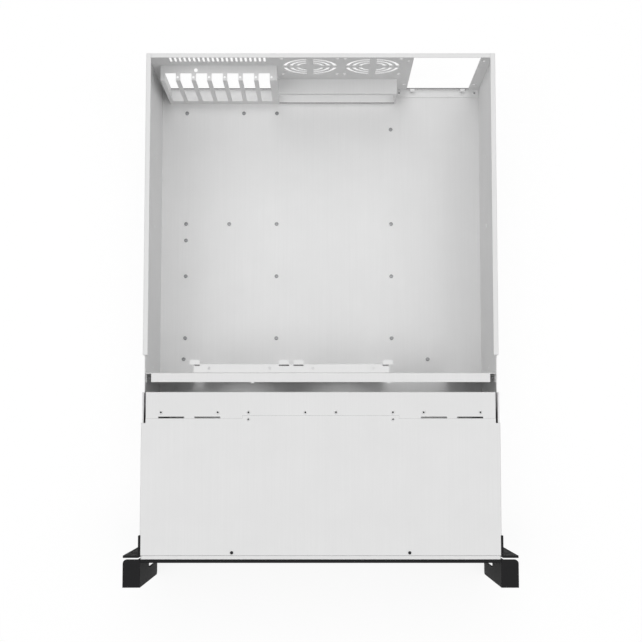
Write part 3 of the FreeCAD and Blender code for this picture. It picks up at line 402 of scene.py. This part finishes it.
# Front cover: the fixed sheet over the cages, folded down outside both walls.
# Two rivets hold its rear edge, and two small black-oxide screws its front edge. The oxide is
# a thin dark film with a low gloss.
# Its broken edges are wider than the other sheets' and take the dark edge colour: painted shade that
# draws the shadow line of the seam where its rear edge lies on the lid ledge.
COVER_SEAM_SHADE_EDGE = 0.00025
wear(zinc_sheet, "front_cover", edge=COVER_SEAM_SHADE_EDGE, cut=bare_edge_and_shade)
black_oxide = blank("black_oxide_steel")
grain, tint = mottled(black_oxide, PLATE_GRAIN, "#232324", "#343436", 3.0)
gloss = add(black_oxide, "ShaderNodeMapRange", {"Value": grain, "To Min": 0.32, "To Max": 0.5})
surface(black_oxide, add(black_oxide, "ShaderNodeBsdfPrincipled", {
    "Base Color": tint, "Roughness": gloss.outputs[0], "Metallic": 0.7}))
low, high = solid_boxes("cover_fasteners")
tall = high[:, 2] - low[:, 2] > 2 * HEAD_HEIGHT
seats = feet(low, high)[tall]
seats[:, 2] = high[tall, 2] - HEAD_HEIGHT
width, _, height = (high - low)[tall][0]
screws = cross_screws(seats, (0, 0, 1), height - HEAD_HEIGHT, width)
cover_screws = grid_piece("cover_edge_screws", screws)
cover_screws.data.materials.append(black_oxide)
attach(cover_screws, "chassis")
set_rivets("cover_dome_rivets", feet(low, high)[~tall], "cover_fasteners", bare_edge_and_shade)

# Front frame: the upright sheet behind the black panel, whose top edge shows as a narrow strip
# in front of the cover. The same zinc-coated sheet.
wear(zinc_sheet, "front_frame")

# Front panel, rack ears and handles: folded steel with a fine matt black powder coat.
# The coat's orange peel is about a millimetre across and scatters what little it reflects.
# It rounds the edges more than the zinc does.
COAT_EDGE = 0.0004
PEEL = 0.0012
SPECK = 0.0007
black_coat = blank("matt_black_powder_coat")
place = add(black_coat, "ShaderNodeTexCoord").outputs["Object"]
noise = add(black_coat, "ShaderNodeTexNoise", {"Vector": place, "Scale": 1 / PEEL, "Detail": 3.0})
peel = noise.outputs["Fac"]
cells = add(black_coat, "ShaderNodeTexVoronoi", {"Vector": place, "Scale": 1 / SPECK})
speck = cells.outputs["Distance"]
tones = {MIX_SHARE: speck, MIX_DARK: linear("#171718"), MIX_LIGHT: linear("#1F1F20")}
tint = add(black_coat, "ShaderNodeMix", tones, data_type="RGBA")
gloss = add(black_coat, "ShaderNodeMapRange", {"Value": peel, "To Min": 0.72, "To Max": 0.86})
bump = add(black_coat, "ShaderNodeBump", {"Height": peel, "Strength": 0.25, "Distance": 0.0002})
surface(black_coat, add(black_coat, "ShaderNodeBsdfPrincipled", {
    "Base Color": tint.outputs[MIX_OUT], "Roughness": gloss.outputs[0], "IOR": 1.3,
    "Normal": bump.outputs[0]}))
wear(black_coat, "front_panel", "rack_ear_right", "rack_ear_left", "handle_right", "handle_left",
     edge=COAT_EDGE)

# Ear screws: machine screws through each ear's leg into the side wall.
# Black-oxide steel, as the cover's screws are, with wider heads.
ear_screws = side_screws("ear_leg_screws", "ear_screws")
ear_screws.data.materials.append(black_oxide)
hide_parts("ear_screws")
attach(ear_screws, "chassis")

# Control board: a small circuit board behind the panel, on zinc-plated spacers.
# Its green solder mask has a soft gloss, and the glass weave below gives it two close greens.
BOARD_GRAIN = 0.0015
solder_mask = blank("green_solder_mask")
tint = mottled(solder_mask, BOARD_GRAIN, "#17502E", "#1F6A3C")[1]
surface(solder_mask, add(solder_mask, "ShaderNodeBsdfPrincipled", {
    "Base Color": tint, "Roughness": 0.35}))
wear(solder_mask, "control_board")
wear(zinc_plate, "board_spacers")

# Light pipes: two clear rods that carry the board's lights to the panel, with rounded noses.
# Cast acrylic: the eye sees through it, with a faint haze and a sharp highlight.
ROD_RADIUS = 1.5e-3
ROD_NOSE = ((ROD_RADIUS, 0.6e-3), (1.3e-3, 0.25e-3), (0.7e-3, 0.05e-3), (0, 0))
low, high = solid_boxes("light_pipes")
rod_ends = (low + high) / 2
rod_ends[:, 1] = high[:, 1]
rod = high[0, 1] - low[0, 1]
nose = [(radius, rod - short) for radius, short in ROD_NOSE]
# Real haze has no grain the eye can part, and is drawn as patches that show.
HAZE = 0.0006
clear_rod = blank("clear_cast_acrylic")
place = add(clear_rod, "ShaderNodeTexCoord").outputs["Object"]
haze = add(clear_rod, "ShaderNodeTexNoise", {"Vector": place, "Scale": 1 / HAZE, "Detail": 1.0})
span = {"Value": haze.outputs["Fac"], "To Min": 0.08, "To Max": 0.16}
gloss = add(clear_rod, "ShaderNodeMapRange", span)
surface(clear_rod, add(clear_rod, "ShaderNodeBsdfPrincipled", {
    "Base Color": linear("#DCE3E6"), "Roughness": gloss.outputs[0], "IOR": 1.49,
    "Transmission Weight": 0.7}))
pipes = turned("light_rods", rod_ends, (0, -1, 0), [(0, 0), (ROD_RADIUS, 0), *nose])
pipes.data.materials.append(clear_rod)
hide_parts("light_pipes")
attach(pipes, "chassis")

# Buttons: two moulded caps that stand out of the panel, each with a collar behind it
# and a stem that presses its switch. Caps and switches are black ABS, whose fine grain
# from the mould spreads the light, so that it looks a little greyer than the coat around it.
# The mould's grain is drawn about three times as coarse as it is, so that it shows.
MOULD_GRAIN = 0.0005
moulded = blank("matt_black_moulded_abs")
grain, tint = mottled(moulded, MOULD_GRAIN, "#2B2B2D", "#37373A")
bump = add(moulded, "ShaderNodeBump", {"Height": grain, "Strength": 0.15, "Distance": 0.0001})
surface(moulded, add(moulded, "ShaderNodeBsdfPrincipled", {
    "Base Color": tint, "Roughness": 0.42, "Normal": bump.outputs[0]}))
wear(moulded, "push_switches")
DISH, CAP_ROUND, CAP_LENGTH = 0.4e-3, 0.3e-3, 3.2e-3
COLLAR_RIM, COLLAR_LENGTH, STEM_HALF = 1.5e-3, 1.2e-3, 1.5e-3
CAP_SIDES = 64


def moulded_cap(name, body):
    """Square cap: each section is |x/a|^n + |z/a|^n = 1, drawn from cos and sin to the power 2/n.

    The rows (distance from the face, a, n) run from the dished face over the collar to the stem's end.
    """
    low, high = (corner[0] for corner in solid_boxes(body))
    middle = (low + high) / 2
    collar = (high - low)[0] / 2
    half = collar - COLLAR_RIM
    back = CAP_LENGTH + COLLAR_LENGTH
    stem = high[1] - low[1]
    rows = ((DISH, 0.0, 2.0), (0.75 * DISH, 0.45 * half, 2.6), (0.0, 0.8 * half, 5.0),
            (0.0, 0.88 * half, 6.0), (CAP_ROUND, half, 7.0), (CAP_LENGTH, half, 7.0),
            (CAP_LENGTH, collar, 8.0), (back, collar, 8.0), (back, STEM_HALF, 8.0),
            (stem, STEM_HALF, 8.0), (stem, 0.0, 8.0))
    depth, size, power = np.array(rows).T[:, :, None]
    angle = np.arange(CAP_SIDES) * (2 * math.pi / CAP_SIDES)
    c, s = np.cos(angle)[None], np.sin(angle)[None]
    x = middle[0] + size * np.sign(c) * np.abs(c) ** (2 / power)
    z = middle[2] + size * np.sign(s) * np.abs(s) ** (2 / power)
    y = np.broadcast_to(low[1] + depth, x.shape)
    piece = grid_piece(name, np.stack((x, y, z), axis=-1)[None])
    piece.data.materials.append(moulded)
    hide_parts(body)
    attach(piece, body)


moulded_cap("power_cap", "power_button")
moulded_cap("reset_cap", "reset_button")

# Floor: a white paper sweep, which the lens and mirrors see as white, with the object's shadow
# in the share of it that is plain paper.
FLOOR_REACH = 15
WHITE_SHARE, WHITE_GLOW = 0.82, 1.06
floor_mesh = bpy.data.meshes.new("floor")
rim = [(x * FLOOR_REACH, y * FLOOR_REACH, 0) for x, y in ((-1, -1), (1, -1), (1, 1), (-1, 1))]
floor_mesh.from_pydata(rim, [], [(0, 1, 2, 3)])
floor = bpy.data.objects.new("floor", floor_mesh)
bpy.context.scene.collection.objects.link(floor)


def seen_directly(owner):
    """1 for rays from the lens, a mirror or glass, and 0 for those that only carry light."""
    rays = add(owner, "ShaderNodeLightPath").outputs
    pair = {0: rays["Is Camera Ray"], 1: rays["Is Glossy Ray"]}
    either = add(owner, "ShaderNodeMath", pair, operation="MAXIMUM").outputs[0]
    pair = {0: either, 1: rays["Is Transmission Ray"]}
    return add(owner, "ShaderNodeMath", pair, operation="MAXIMUM").outputs[0]


white_paper = blank("white_paper_sweep")
part = {0: seen_directly(white_paper), 1: WHITE_SHARE}
share = add(white_paper, "ShaderNodeMath", part, operation="MULTIPLY")
paper = add(white_paper, "ShaderNodeBsdfDiffuse", {"Color": linear("#F4F4F4")})
glow = add(white_paper, "ShaderNodeEmission", {"Color": (1, 1, 1, 1), "Strength": WHITE_GLOW})
surface(white_paper, add(white_paper, "ShaderNodeMixShader", {
    0: share.outputs[0], 1: paper.outputs[0], 2: glow.outputs[0]}))
floor_mesh.materials.append(white_paper)

# Light: a white room and three broad soft boxes, one behind the object and one on each side.
# Each box is given by its turn about x and about y, its breadth, all in degrees, and its strength.
SKY_LIGHT, SKY_WHITE = 0.36, 1.0
world = bpy.data.worlds.new("studio")
bpy.context.scene.world = world
world.use_nodes = True
world.node_tree.nodes.clear()
span = {"Value": seen_directly(world), "To Min": SKY_LIGHT, "To Max": SKY_WHITE}
level = add(world, "ShaderNodeMapRange", span)
sky = add(world, "ShaderNodeBackground", {"Color": (1, 1, 1, 1), "Strength": level.outputs[0]})
add(world, "ShaderNodeOutputWorld", {"Surface": sky.outputs[0]})
soft_boxes = {"rear_box": (-30, 0, 40, 0.62),
              "left_box": (6, -24, 35, 0.47),
              "right_box": (6, 24, 35, 0.45)}
for name, (tilt, roll, breadth, strength) in soft_boxes.items():
    lamp_data = bpy.data.lights.new(name, "SUN")
    lamp_data.angle = math.radians(breadth)
    lamp_data.energy = strength
    lamp = bpy.data.objects.new(name, lamp_data)
    lamp.rotation_euler = (math.radians(tilt), math.radians(roll), 0)
    bpy.context.scene.collection.objects.link(lamp)

# Camera: above the object and a little to its front, leaning towards the rear.
# Its place and lens are fitted to the board's screw grid as the viewer sees it.
LENS_PLACE = (0.0004, -0.1584, 1.8555)
LENS_LEAN = math.radians(5.164)
LENS_LENGTH, SENSOR_WIDTH = 76.35, 36
lens = bpy.data.cameras.new("lens")
lens.sensor_width = SENSOR_WIDTH
lens.lens = LENS_LENGTH
camera = bpy.data.objects.new("lens", lens)
camera.location = LENS_PLACE
camera.rotation_euler = (LENS_LEAN, 0, 0)
bpy.context.scene.collection.objects.link(camera)
bpy.context.scene.camera = camera
bpy.context.scene.view_settings.view_transform = "Standard"
